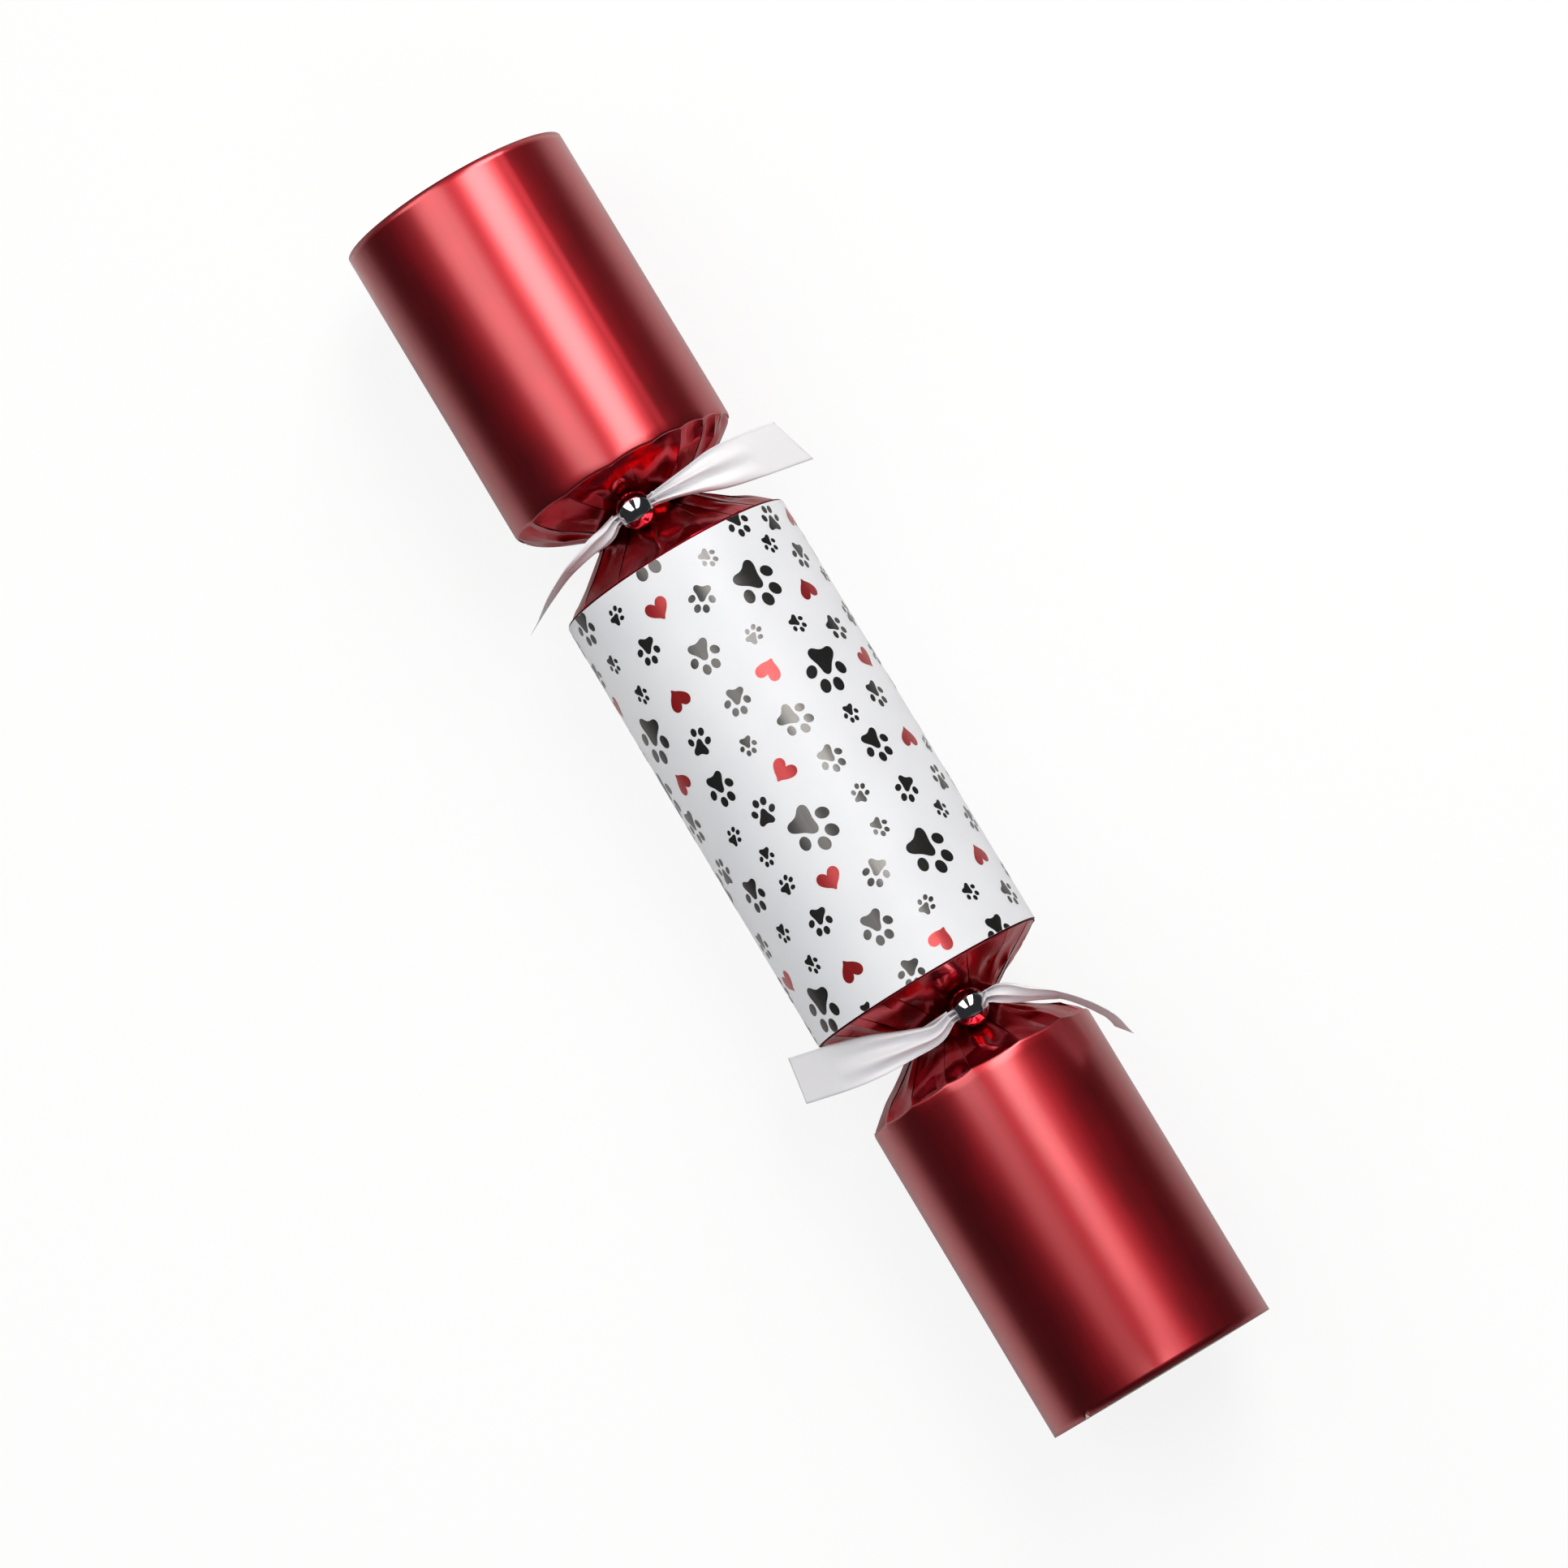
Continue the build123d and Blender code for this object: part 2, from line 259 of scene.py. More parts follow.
# %% Shared surface effects
NOISE_RANGE = (0.3, 0.7)
GRAIN_ROUGHNESS = (0.37, 0.43)
CREASES_PER_METRE = 210.0
foil_grain = new_group("foil grain")
streaks = stretched_noise(foil_grain, (14, 900, 900), 3.0)
clouds = stretched_noise(foil_grain, (90, 140, 140), 2.0)
put_out(
    foil_grain,
    Tone=spread(foil_grain, streaks, 0.0, 1.0, *NOISE_RANGE),
    Roughness=spread(foil_grain, clouds, *GRAIN_ROUGHNESS, *NOISE_RANGE),
    Height=streaks,
)

paper_fibre = new_group("paper fibre")
fibres = stretched_noise(paper_fibre, (900, 2600, 2600), 4.0, 0.6)
mottle = stretched_noise(paper_fibre, (60, 60, 60), 3.0)
put_out(paper_fibre, Tone=spread(paper_fibre, mottle, 0.0, 1.0, *NOISE_RANGE), Height=fibres)

crush_web = new_group("crush web")
where = place_node(crush_web, "TexCoord").outputs["Object"]
lumps = place_node(
    crush_web, "TexNoise", inputs={"Scale": CREASES_PER_METRE, "Detail": 2.0, "Roughness": 0.5}
)
shift = place_node(crush_web, "Mix", {"data_type": "VECTOR"}, {"Factor": 0.012})
cells = place_node(
    crush_web, "TexVoronoi", {"feature": "DISTANCE_TO_EDGE"}, {"Scale": CREASES_PER_METRE}
)
plain, lumpy = [socket for socket in shift.inputs if socket.type == "VECTOR"][-2:]
moved = [socket for socket in shift.outputs if socket.type == "VECTOR"][0]
crush_web.links.new(where, lumps.inputs["Vector"])
crush_web.links.new(where, plain)
crush_web.links.new(lumps.outputs["Color"], lumpy)
crush_web.links.new(moved, cells.inputs["Vector"])
put_out(
    crush_web,
    Height=spread(crush_web, cells.outputs["Distance"], 0.0, 1.0, 0.0, 0.4),
    Tone=lumps.outputs["Fac"],
)
print("groups:", [group.name for group in bpy.data.node_groups])

# %% [markdown]
# ## Foil, paper and card
# The wrapper is metal foil with a tinted lacquer: a red metal under a clear coat. The metal gives
# the wide coloured glow, and the coat adds the paler gleam on top of it. In the necks the same foil
# is crushed, so there it is full of small creases and shinier between them.

# %% Foil, paper and card
new_look(
    "sleeve foil",
    foil_grain,
    (0.56, 0.002, 0.014),
    (0.63, 0.003, 0.017),
    {"Metallic": 1.0, "Coat Weight": 1.0, "Coat IOR": 1.85, "Coat Roughness": 0.26},
    (0.05, 0.2),
    GRAIN_ROUGHNESS,
)
# The crushed foil's creases, bumps and roughness are its own; its tones, darker than the sleeve
# foil's, are painted shade.
crushed = {"Metallic": 1.0, "Roughness": 0.26}
crushed.update({"Coat Weight": 0.25, "Coat IOR": 1.5, "Coat Roughness": 0.08})
new_look("neck foil", crush_web, (0.39, 0.003, 0.013), (0.50, 0.004, 0.016), crushed, (0.08, 0.4))
# The barrel's foil strip is the sleeve foil in much darker tones: painted shade, so that the strip
# at the band's edges shows no highlight, as foil turning down there would show none.
shaded_edge_metal = {"Metallic": 1.0, "Roughness": 0.6}
new_look("shaded edge foil", foil_grain, (0.13, 0.002, 0.008), (0.18, 0.003, 0.011), shaded_edge_metal)
new_look(
    "band paper",
    paper_fibre,
    (0.78, 0.79, 0.83),
    (0.82, 0.83, 0.86),
    {"Roughness": 0.42, "Specular IOR Level": 0.45},
    (0.06, 0.1),
)
# Name: dark tone, light tone, roughness, bumps
PLAIN_PAPERS = {
    "foil back": ((0.62, 0.60, 0.58), (0.72, 0.70, 0.68), 0.5, (0.1, 0.1)),
    "grey card": ((0.56, 0.52, 0.46), (0.68, 0.64, 0.57), 0.8, (0.3, 0.2)),
    "snap card": ((0.44, 0.38, 0.29), (0.56, 0.49, 0.38), 0.85, (0.35, 0.2)),
    "snap coating": ((0.045, 0.036, 0.034), (0.09, 0.075, 0.07), 0.9, (0.7, 0.3)),
    "snap paper": ((0.62, 0.55, 0.42), (0.74, 0.67, 0.53), 0.75, (0.25, 0.2)),
    "motto paper": ((0.78, 0.77, 0.72), (0.86, 0.85, 0.81), 0.65, (0.15, 0.1)),
}
for name, (dark, light, rough, bumps) in PLAIN_PAPERS.items():
    new_look(name, paper_fibre, dark, light, {"Roughness": rough}, bumps)
tissue = {"Roughness": 0.7}
new_look("hat tissue", crush_web, (0.010, 0.16, 0.055), (0.025, 0.27, 0.10), tissue, (0.5, 0.5))
print("materials so far:", len(bpy.data.materials))

# %% [markdown]
# ## Prints, ribbon, bead and toy
# The paws and hearts are hot-stamped foil: dark or red, and pale where they mirror a lamp. The
# ribbon is satin, so its threads lie along it and its two edges are woven tighter. The bead is
# chromed plastic. The toy is a turned wooden top with a painted disc.

# %% Prints, ribbon, bead and toy
new_look(
    "paw foil",
    foil_grain,
    (0.100, 0.096, 0.094),
    (0.125, 0.120, 0.116),
    {"Metallic": 0.9, "Coat Weight": 0.3, "Coat IOR": 1.5, "Coat Roughness": 0.25},
    roughness=(0.22, 0.28),
)
new_look(
    "heart foil",
    foil_grain,
    (0.42, 0.014, 0.018),
    (0.50, 0.020, 0.024),
    {"Metallic": 0.55, "Coat Weight": 0.5, "Coat IOR": 1.6, "Coat Roughness": 0.25},
    roughness=(0.24, 0.30),
)

PICK_WAVES = 15000.0  # radians per metre of ribbon
satin_weave = new_group("satin weave")
spot = take_apart(satin_weave, "TexCoord", "UV")
from_edge = work_out(satin_weave, "PINGPONG", spot["X"], 0.5)
selvedge = spread(satin_weave, from_edge, 1.0, 0.0, 0.03, 0.07)
along = work_out(satin_weave, "MULTIPLY", spot["Y"], PICK_WAVES)
picks = spread(satin_weave, work_out(satin_weave, "SINE", along), 0.0, 1.0, -1.0, 1.0)
edge_picks = work_out(satin_weave, "MULTIPLY", selvedge, picks)
put_out(
    satin_weave,
    Tone=spread(satin_weave, edge_picks, 1.0, 0.55),
    Height=stretched_noise(satin_weave, (120.0, 60.0, 1.0), 2.0, 0.5, "UV"),
)
new_look(
    "ribbon satin",
    satin_weave,
    (0.50, 0.47, 0.54),
    (0.86, 0.85, 0.88),
    {"Roughness": 0.38, "Specular IOR Level": 0.6, "Sheen Weight": 0.2, "Sheen Roughness": 0.4},
    (0.15, 0.2),
)

_, tree, shader = new_material("bead chrome", {"Metallic": 1.0})
scuffs = stretched_noise(tree, (700, 700, 700), 3.0)
scuff_tone = spread(tree, scuffs, 0.0, 1.0, *NOISE_RANGE)
two_tones(tree, scuff_tone, (0.80, 0.80, 0.82), (0.88, 0.88, 0.90), shader)
tree.links.new(spread(tree, scuffs, 0.05, 0.11, 0.3, 0.8), shader.inputs["Roughness"])

wood_rings = new_group("wood rings")
long_grain = stretched_noise(wood_rings, (60, 900, 900), 4.0, 0.6)
put_out(wood_rings, Tone=spread(wood_rings, long_grain, 0.0, 1.0, *NOISE_RANGE), Height=long_grain)
bare = {"Roughness": 0.5}
new_look("peg wood", wood_rings, (0.42, 0.25, 0.12), (0.60, 0.41, 0.22), bare, (0.2, 0.2))
painted = {"Roughness": 0.3, "Coat Weight": 0.5, "Coat Roughness": 0.1}
new_look("disc paint", wood_rings, (0.36, 0.02, 0.024), (0.42, 0.028, 0.03), painted, (0.12, 0.2))
print("materials in all:", len(bpy.data.materials))

# %% [markdown]
# ## Where the foil folds
# At the edge of an end tube the foil turns inwards, and it can only do so by folding. Each fold
# starts at a corner of the edge, so the corners set where the ridges run. Those that the picture
# shows are measured from it; the ones underneath are spaced by chance, with a fixed seed.

# %% Where the foil folds
SEEN_RIDGES = {
    "left": [-80, -55, -28, -2, 20, 37, 53, 72],
    "right": [-84, -60, -38, -17, -3, 23, 51, 73],
}
PLEATS = 16
RIDGE_SEEDS = {"left": 11, "right": 29}
chance_turn = 3  # degrees
least_pull, ridge_pull = 0.05, 0.40  # millimetres


def all_ridges(side_name):
    """The turn of every ridge round one neck, in radians, from the first one seen."""
    seen = SEEN_RIDGES[side_name]
    luck = random.Random(RIDGE_SEEDS[side_name])
    unseen = PLEATS - len(seen)
    step = (360 + seen[0] - seen[-1]) / (unseen + 1)
    rest = []
    for i in range(unseen):
        rest.append(seen[-1] + step * (i + 1) + luck.uniform(-chance_turn, chance_turn))
    return [math.radians(turn) for turn in seen + rest]


ridges = {name: all_ridges(name) for name in SIDES}


def ridge_share(side_name, turn):
    """1 at a ridge of the neck, falling to 0 half way to the next one."""
    turns = ridges[side_name]
    around = (turn - turns[0]) % math.tau + turns[0]
    following = turns[1:] + [turns[0] + math.tau]
    for start, end in zip(turns, following):
        if around <= end:
            return abs(2 * (around - start) / (end - start) - 1)
    return 1.0


def crease_place(side_name, turn):
    """Where along the cracker the foil turns in over the tube's edge: further in at the ridges."""
    pull = least_pull + ridge_pull * ridge_share(side_name, turn) ** 2
    return end_edges[side_name] - SIDES[side_name] * pull * mm


print("ridges:", {name: len(turns) for name, turns in ridges.items()})

# %% [markdown]
# ## The foil sleeves
# Round each end tube the foil lies smooth, but not perfectly: it has shallow waves and a glued
# seam that shows as a faint step. At the right rim it has come loose in one place, which bends the
# highlight, and a small nick there shows the card. At the other edge it rolls over into the neck.

# %% The foil sleeves
SEAM_TURNS = {"left": math.radians(29), "right": math.radians(118)}
SLEEVE_COLUMNS = 240
SLEEVE_ROWS = 44
# Past the crease and below the sleeve's radius, in millimetres
TURN_IN = [(0.22, 0.05), (0.42, 0.16), (0.60, 0.31)]
LIFT_TURN = math.radians(-1)
NICK_COLUMN = 211
NICK_DEPTH = 1.0
WAVE_PHASES = {"left": 0.7, "right": 2.1}
seam_step, corner_dip, lift_height = 0.06, 0.06, 0.24
foil_thickness = 0.1 * mm


def sleeve_radius(side_name, place, turn):
    """The foil's outer radius on an end tube, with its waves, its seam and its corners."""
    along = abs(place - end_edges[side_name]) / mm
    phase = WAVE_PHASES[side_name]
    waves = 0.030 * math.sin(3 * turn + 0.07 * along + phase)
    waves += 0.018 * math.sin(5 * turn - 0.11 * along + 2 * phase)
    waves += 0.05 * noise.noise(Vector((place / mm / 22, 3 * math.sin(turn), 3 * math.cos(turn))))
    past_seam = (turn - SEAM_TURNS[side_name]) % math.tau
    seam = seam_step * math.exp(-past_seam / 0.25) if past_seam < 1.2 else 0.0
    corners = -corner_dip * (1 - ridge_share(side_name, turn)) * math.exp(-along / 3.0)
    lift = 0.0
    if side_name == "right":
        from_rim = abs(place - rims["right"]) / mm
        aside = (turn - LIFT_TURN + math.pi) % math.tau - math.pi
        lift = lift_height * math.exp(-((aside / 0.14) ** 2) - from_rim / 4)
    return foil_radius + (waves * 0.7 - 0.05 + seam + corners + lift) * mm


def make_sleeve(side_name):
    """The smooth foil on one end tube, from its rim to the crease."""
    points = []
    for row in range(SLEEVE_ROWS):
        share = row / (SLEEVE_ROWS - 1)
        for column in range(SLEEVE_COLUMNS):
            turn = math.tau * column / SLEEVE_COLUMNS
            crease = crease_place(side_name, turn)
            place = rims[side_name] + (crease - rims[side_name]) * share
            if side_name == "right" and row == 0 and column == NICK_COLUMN:
                place -= NICK_DEPTH * mm
            points.append(round_axis(place, sleeve_radius(side_name, place, turn), turn))
    for past, lower in TURN_IN:
        for column in range(SLEEVE_COLUMNS):
            turn = math.tau * column / SLEEVE_COLUMNS
            crease = crease_place(side_name, turn)
            radius = sleeve_radius(side_name, crease, turn) - lower * mm
            points.append(round_axis(crease - SIDES[side_name] * past * mm, radius, turn))
    rows = SLEEVE_ROWS + len(TURN_IN)
    faces = net_faces(rows, SLEEVE_COLUMNS, True, flipped=side_name == "left")
    looks = ["sleeve foil", "foil back"]
    sleeve = new_piece(f"{side_name}_sleeve_foil", points, faces, looks, f"{side_name}_end")
    thicken(sleeve, foil_thickness, 1)
    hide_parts(f"{side_name}_wrap")
    return sleeve


sleeves = {name: make_sleeve(name) for name in SIDES}
print("sleeves:", [sleeve.name for sleeve in sleeves.values()])

# %% [markdown]
# ## The choked necks
# This is the hardest feature of the cracker. Foil doesn't stretch, so each ring of it keeps the
# length that it had round the tube. Near the waist there is too much of it, and the spare width
# is tucked under in flat pleats: each pleat is a panel that shows and a fold that lies beneath
# the next one. A coarse net is folded by that rule and dented as crushed foil is. It is then
# smoothed, with the folds and some chance creases kept sharp.

# %% The choked necks
# Distance from the end tube's edge and radius over the ridges, both in millimetres
NECK_PROFILES = {
    "left": [
        (0.0, 25.2), (1.6, 24.2), (3.6, 22.1), (6.0, 18.0), (8.4, 11.9), (9.9, 11.2),
        (11.4, 11.8), (13.8, 14.8), (16.6, 18.5), (19.4, 22.6), (21.8, 25.27),
    ],
    "right": [
        (0.0, 25.2), (1.6, 24.0), (3.8, 21.8), (6.6, 17.6), (10.6, 11.9), (12.2, 11.2),
        (13.8, 11.8), (15.6, 14.6), (17.6, 18.2), (19.6, 22.0), (21.8, 25.27),
    ],
}
NECK_SEEDS = {"left": 5, "right": 17}
FOLD_CREASE, CHANCE_CREASE = 0.95, 0.8
ALONG_CHANCE, ROUND_CHANCE = 0.55, 0.3
neck_thickness = 0.08 * mm
hair_turn = 0.002  # radians, which keeps neighbouring pleats apart
under_sleeve, past_crease = 0.22 * mm, 0.3 * mm
PANEL_POINTS = 5
waist_ridge = min(radius for _, radius in NECK_PROFILES["left"])
bead_room = 4.4 * mm


def clear_of_bead(side_name, spot):
    """Presses a point of the foil away from the bead, which lies in a hollow of its own."""
    away = spot - bead_centres[side_name]
    if away.length < bead_room:
        away.z = min(away.z, -0.2 * away.length)
        spot = bead_centres[side_name] + away.normalized() * bead_room
    return spot


def panel_spots(side_name, row, pleat, fold_ways, drifts):
    """Turn and radius of a panel's start, two points on it, its end and the fold tucked beneath."""
    ridge_radius = NECK_PROFILES[side_name][row][1]
    turns = ridges[side_name] + [ridges[side_name][0] + math.tau]
    start, end = turns[pleat], turns[pleat + 1]
    spare = (foil_radius / mm - ridge_radius) * (end - start) / 2
    tuck = max(spare / ridge_radius, 0.004)
    step = min(0.3, 0.25 * spare)
    start += drifts[pleat] * tuck
    end += drifts[(pleat + 1) % PLEATS] * tuck
    start_under = step if fold_ways[pleat - 1] > 0 else 0.0
    end_under = step if fold_ways[pleat] < 0 else 0.0
    middle_radius = ridge_radius * math.cos((end - start) / 2)
    return [
        (start + hair_turn, ridge_radius - start_under),
        (start + 0.36 * (end - start), middle_radius),
        (start + 0.66 * (end - start), middle_radius),
        (end - hair_turn, ridge_radius - end_under),
        (end - fold_ways[pleat] * tuck, ridge_radius - 3 * step),
    ]


def neck_ring(side_name, row, luck, fold_ways, drifts):
    """One ring of the neck's net, a panel and a tucked fold for each pleat."""
    profile = NECK_PROFILES[side_name]
    along, ridge_radius = profile[row]
    place = end_edges[side_name] - SIDES[side_name] * along * mm
    gathered = (foil_radius / mm - ridge_radius) / (foil_radius / mm - waist_ridge)
    crush = math.sin(math.pi * min(max(0.25 + 0.75 * gathered, 0), 1))
    lumps = [(luck.uniform(-0.5, 0.5), luck.uniform(-0.25, 0.25)) for _ in range(PLEATS)]
    ring = []
    for pleat in range(PLEATS):
        spots = panel_spots(side_name, row, pleat, fold_ways, drifts)
        for step, (turn, radius) in enumerate(spots):
            if row == 0:
                edge_turn = turn if step < 4 else spots[3][0] + hair_turn
                edge_place = crease_place(side_name, edge_turn)
                edge_radius = sleeve_radius(side_name, edge_place, edge_turn) - under_sleeve
                edge_place -= SIDES[side_name] * past_crease
                ring.append(round_axis(edge_place, edge_radius, edge_turn))
            elif row == len(profile) - 1:
                ring.append(round_axis(place, ridge_radius * mm, turn))
            else:
                shift, out = lumps[pleat - 1] if step == 0 else lumps[pleat]
                if step in (1, 2):
                    shift, out = luck.uniform(-0.9, 0.9), luck.uniform(-0.8, 0.45)
                spot = round_axis(place + shift * crush * mm, (radius + out * crush) * mm, turn)
                ring.append(clear_of_bead(side_name, spot))
    return ring


def make_neck(side_name):
    """The pleated, crushed foil between an end tube and the barrel."""
    luck = random.Random(NECK_SEEDS[side_name])
    fold_ways = [luck.choice((-1, 1)) for _ in range(PLEATS)]
    drifts = [luck.uniform(-0.7, 0.7) for _ in range(PLEATS)]
    rows = len(NECK_PROFILES[side_name])
    columns = PLEATS * PANEL_POINTS
    points = []
    for row in range(rows):
        points += neck_ring(side_name, row, luck, fold_ways, drifts)
    faces = net_faces(rows, columns, True, flipped=side_name == "left")
    neck = new_piece(f"{side_name}_neck_foil", points, faces, ["neck foil"], f"{side_name}_end")
    creases = neck.data.attributes.new("crease_edge", "FLOAT", "EDGE")
    sharp = neck.data.attributes.new("sharp_edge", "BOOLEAN", "EDGE")
    for edge in neck.data.edges:
        a, b = sorted(edge.vertices)
        runs_along = b - a == columns
        on_fold = runs_along and a % PANEL_POINTS not in (1, 2)
        by_chance = luck.random() < (ALONG_CHANCE if runs_along else ROUND_CHANCE)
        crease = FOLD_CREASE if on_fold else CHANCE_CREASE if by_chance else 0.0
        creases.data[edge.index].value = crease
        sharp.data[edge.index].value = on_fold or by_chance
    smooth = neck.modifiers.new("smooth facets", "SUBSURF")
    smooth.levels = 2
    smooth.render_levels = 2
    thicken(neck, neck_thickness)
    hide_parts(f"{side_name}_choke")
    return neck


necks = {name: make_neck(name) for name in SIDES}
print("necks:", [neck.name for neck in necks.values()])

# %% [markdown]
# ## The printed band
# The band itself is the CAD's paper tube. Its prints are stamped foil, a few hundredths of a
# millimetre thick, so each one is a thin mesh that follows the curve of the paper. Their places on
# the side that the picture shows are measured; the far side is filled by throwing darts, which
# keeps each motif clear of those already there.

# %% Where the prints lie
# By size: place along the cracker in millimetres, turn round it and facing, both in degrees
PAWS = {
    4.0: [
        (-46.3, -37.4, 131), (-46.1, 14.3, 28), (-43, 46.2, 16), (-38.7, -56.1, 13),
        (-30.2, -49.4, 15), (-28.2, 14.1, 130), (-25.9, 35.8, 32), (-9.4, -14.3, -2),
        (-4.8, 35.3, 1), (4, -45.1, 125), (10.1, 18.5, 154), (11.3, -35, -9), (18.1, -33.2, 132),
        (18.1, 18.1, 19), (20.6, 53.3, 18), (25.8, -50.5, 0), (34.3, -44.3, 20), (36.1, 18, 133),
        (38.2, 41.3, 34), (48.5, -31, 0),
    ],
    5.8: [
        (-49.5, 36.2, 10), (-48, 56.8, 170), (-39.5, 2, -31), (-39.5, -80, 0), (-38.5, 62.6, -20),
        (-36.5, -32.5, -17), (-21.9, 56.7, 40), (-18.1, -8.2, -16), (-15.7, -34, 158),
        (-6.2, 56.7, 14), (1.4, 15.3, 19), (3.2, -24.3, 171), (8.2, -68, 170), (13.9, 40.3, -30),
        (14.3, 67.1, 180), (24.7, 75.2, -30), (25.2, -74, 0), (25.7, 5.6, -36), (28.1, -28.3, -16),
        (41.7, 67.4, 40), (46.5, -4, -20),
    ],
    7.2: [
        (-48, -61.2, -10), (-29.3, -10.3, 4), (-9.1, 10.5, 41), (-5.2, -37.3, 5), (-2.6, -71, 0),
        (3.3, 39, 16), (16.2, -54.5, -8), (35.2, -6.4, 5), (48, 44, 0),
    ],
    10.1: [
        (-53.5, -12, 0), (-36.7, 28.8, 26), (-21.3, -60.3, -25), (-14.9, 36.4, -14), (11.6, -8, 30),
        (27.3, 33.8, 28), (43, -54.7, -20),
    ],
}
HEARTS = [
    (-42.4, -17.7, 7), (-32, -79.6, 10), (-31.6, 52.4, 185), (-25.1, -32, 190), (-20.5, 11.6, 137),
    (-14, 65.3, 20), (-11.1, -57.6, 200), (-1.4, -6.6, -60), (4.3, 60.9, 170), (22, -13.8, 5),
    (32.1, 61.1, 185), (34.1, -70.1, 15), (39.4, -27.8, 190), (43.5, 15.8, 137),
]
motifs = [(size, *paw) for size, paws in PAWS.items() for paw in paws]
motifs += [("heart", *heart) for heart in HEARTS]
FAR_KINDS = [10.1] * 7 + [7.2] * 12 + [5.8] * 24 + ["heart"] * 16 + [4.0] * 26
FAR_TURNS = (78, 282)
DART_TRIES = 400
DART_SEED = 7
heart_spacing = 14.0
heart_size = 5.0
LAP_TURNS = (-160, -138)
arc_per_degree = band_radius / mm * math.pi / 180


def motif_size(kind):
    """The size of a motif: paws are told apart by their size, and all hearts have one."""
    return heart_size if kind == "heart" else kind


def throw_darts():
    """Fills the far side of the band, with no motif nearer to another than their sizes allow."""
    luck = random.Random(DART_SEED)
    taken = [(x, turn, motif_size(kind)) for kind, x, turn, _ in motifs]
    middle = (band_edges["left"] + band_edges["right"]) / 2 / mm
    half = (band_edges["right"] - band_edges["left"]) / 2 / mm
    made = []
    for kind in FAR_KINDS:
        size = motif_size(kind)
        for _ in range(DART_TRIES):
            x = middle + luck.uniform(-1, 1) * (half - size / 3)
            turn = luck.uniform(*FAR_TURNS)
            turn = turn - 360 if turn > 180 else turn
            if LAP_TURNS[0] - size / 1.2 < turn < LAP_TURNS[1] + size / 1.2:
                continue
            clear = True
            for other_x, other_turn, other_size in taken:
                apart = abs((turn - other_turn + 180) % 360 - 180) * arc_per_degree
                both_hearts = kind == "heart" and other_size == heart_size
                least = heart_spacing if both_hearts else 0.56 * (size + other_size) + 0.4
                if math.hypot(x - other_x, apart) < least:
                    clear = False
                    break
            if clear:
                taken.append((x, turn, size))
                made.append((kind, x, turn, luck.uniform(0, 360)))
                break
    return made


far_motifs = throw_darts()
print("prints on the far side:", len(far_motifs))

# %% [markdown]
# A paw is a pad and four oval toes. The pad has three lobes: one points to the toes and two are
# the heel. A heart is the usual curve. Both are drawn once, one unit across, and every motif is a
# turned and scaled copy that is laid on the band.

# %% The shapes of a paw and a heart
OVAL_POINTS = 20


def round_off(corners, per_side):
    """A smooth closed curve through these corners."""
    curve = []
    count = len(corners)
    for i in range(count):
        nearest = [Vector(corners[(i + k) % count]) for k in (-1, 0, 1, 2)]
        curve += [curve_point(*nearest, step / per_side) for step in range(per_side)]
    return curve[::-1]


def oval(centre, across, along, lean):
    """An oval with this centre and these half sizes, leaning by some degrees."""
    outline = []
    for step in range(OVAL_POINTS):
        turn = math.tau * step / OVAL_POINTS
        spot = Vector((across * math.cos(turn), along * math.sin(turn)))
        spot.rotate(Matrix.Rotation(math.radians(lean), 2))
        outline.append(spot + Vector(centre))
    return outline


pad_half = [
    (0.0, 0.098), (0.07, 0.068), (0.112, 0.005), (0.142, -0.068), (0.185, -0.150), (0.252, -0.242),
    (0.300, -0.328), (0.305, -0.415), (0.252, -0.480), (0.17, -0.492), (0.085, -0.462),
]
pad_corners = pad_half + [(0.0, -0.446)] + [(-x, y) for x, y in pad_half[:0:-1]]
paw_shapes = [round_off(pad_corners, 2)]
TOES = [(0.152, 0.327, 0.123, 0.152, 10), (0.352, -0.010, 0.118, 0.148, 34)]
for x, y, across, along, lean in TOES:
    paw_shapes += [oval((side * x, y), across, along, -side * lean) for side in (-1, 1)]
heart_half = [
    (0.0, 0.47), (0.12, 0.34), (0.34, 0.16), (0.50, -0.06),
    (0.50, -0.27), (0.36, -0.41), (0.17, -0.40), (0.04, -0.28),
]
heart_corners = heart_half + [(0.0, -0.21)] + [(-x, y) for x, y in heart_half[:0:-1]]
heart_shapes = [round_off(heart_corners, 3)]
print("points in a pad:", len(paw_shapes[0]), "and in a heart:", len(heart_shapes[0]))

# %% [markdown]
# The band's edges cut some motifs in two, so points beyond an edge are brought back to it, and a
# toe that lies wholly outside is left out.

# %% The prints
print_radius = band_radius + 0.03 * mm


def on_band(spot):
    """The point of a print at this place along the band and this distance round it."""
    return round_axis(spot.x * mm, print_radius, spot.y / arc_per_degree * math.pi / 180)


def lay_motif(shapes, size, x, turn, facing, points, faces):
    """Adds one motif to a mesh on the band's surface."""
    way = math.radians(facing)
    low, high = band_edges["left"] / mm + 0.02, band_edges["right"] / mm - 0.02
    for shape in shapes:
        laid = []
        for spot in shape:
            across, ahead = spot.x * size, spot.y * size
            along = x + ahead * math.cos(way) - across * math.sin(way)
            round_way = ahead * math.sin(way) + across * math.cos(way)
            laid.append(Vector((along, turn * arc_per_degree + round_way)))
        centre = sum(laid, Vector((0, 0))) / len(laid)
        if not low + 0.1 < centre.x < high - 0.1:
            inside = [spot for spot in laid if low < spot.x < high]
            if len(inside) < 4:
                continue
            centre = sum(inside, Vector((0, 0))) / len(inside)
        first = len(points)
        rings = 4 if size > 7 else 3
        for ring in range(1, rings + 1):
            for spot in laid:
                place = centre.lerp(spot, ring / rings)
                place.x = min(max(place.x, low), high)
                points.append(on_band(place))
        points.append(on_band(centre))
        count = len(laid)
        faces.extend(net_faces(rings, count, True, first))
        middle = len(points) - 1
        faces.extend((middle, first + (i + 1) % count, first + i) for i in range(count))


